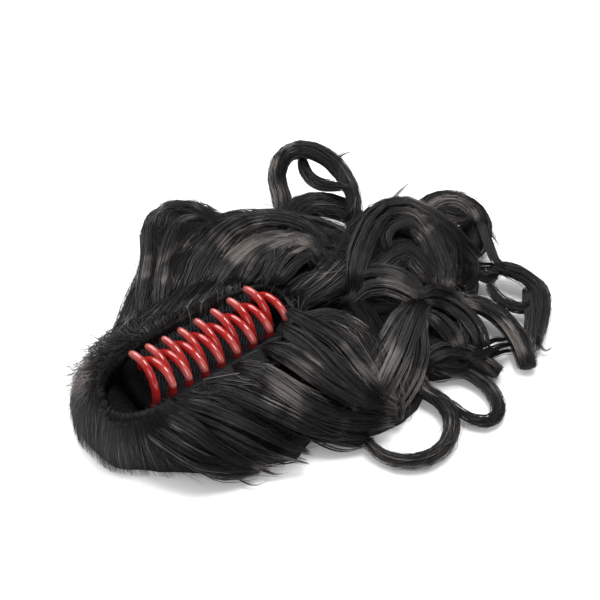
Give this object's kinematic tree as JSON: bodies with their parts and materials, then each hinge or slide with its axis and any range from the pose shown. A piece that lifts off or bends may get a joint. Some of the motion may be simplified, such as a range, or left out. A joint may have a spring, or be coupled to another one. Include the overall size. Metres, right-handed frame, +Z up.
{
  "type": "clip-in ponytail",
  "caption": "Curly black ponytail hair extension on a red claw clip. The clip's curved teeth grip the wearer's own hair, and long locks fall from the net band round it.",
  "frame": {"origin": "the middle of the bounding box, on the flat surface that the hair lies on", "axes": "+X along the clip and the spread hair, from the open front end of the band to the loose curls, +Y across the clip, +Z up, the way the clip's teeth stand"},
  "size_m": [0.2964, 0.257, 0.0516],
  "materials": {
    "clip_plastic": "gloss",
    "net": "matte",
    "thread": "matte",
    "hair": "satin"
  },
  "bodies": {
    "root": {"claw_jaw_near": "clip_plastic", "claw_jaw_far": "clip_plastic", "hinge_pin": "clip_plastic", "base_band": "net", "weft_seam": "thread", "hair": "hair"}
  },
  "joints": []
}
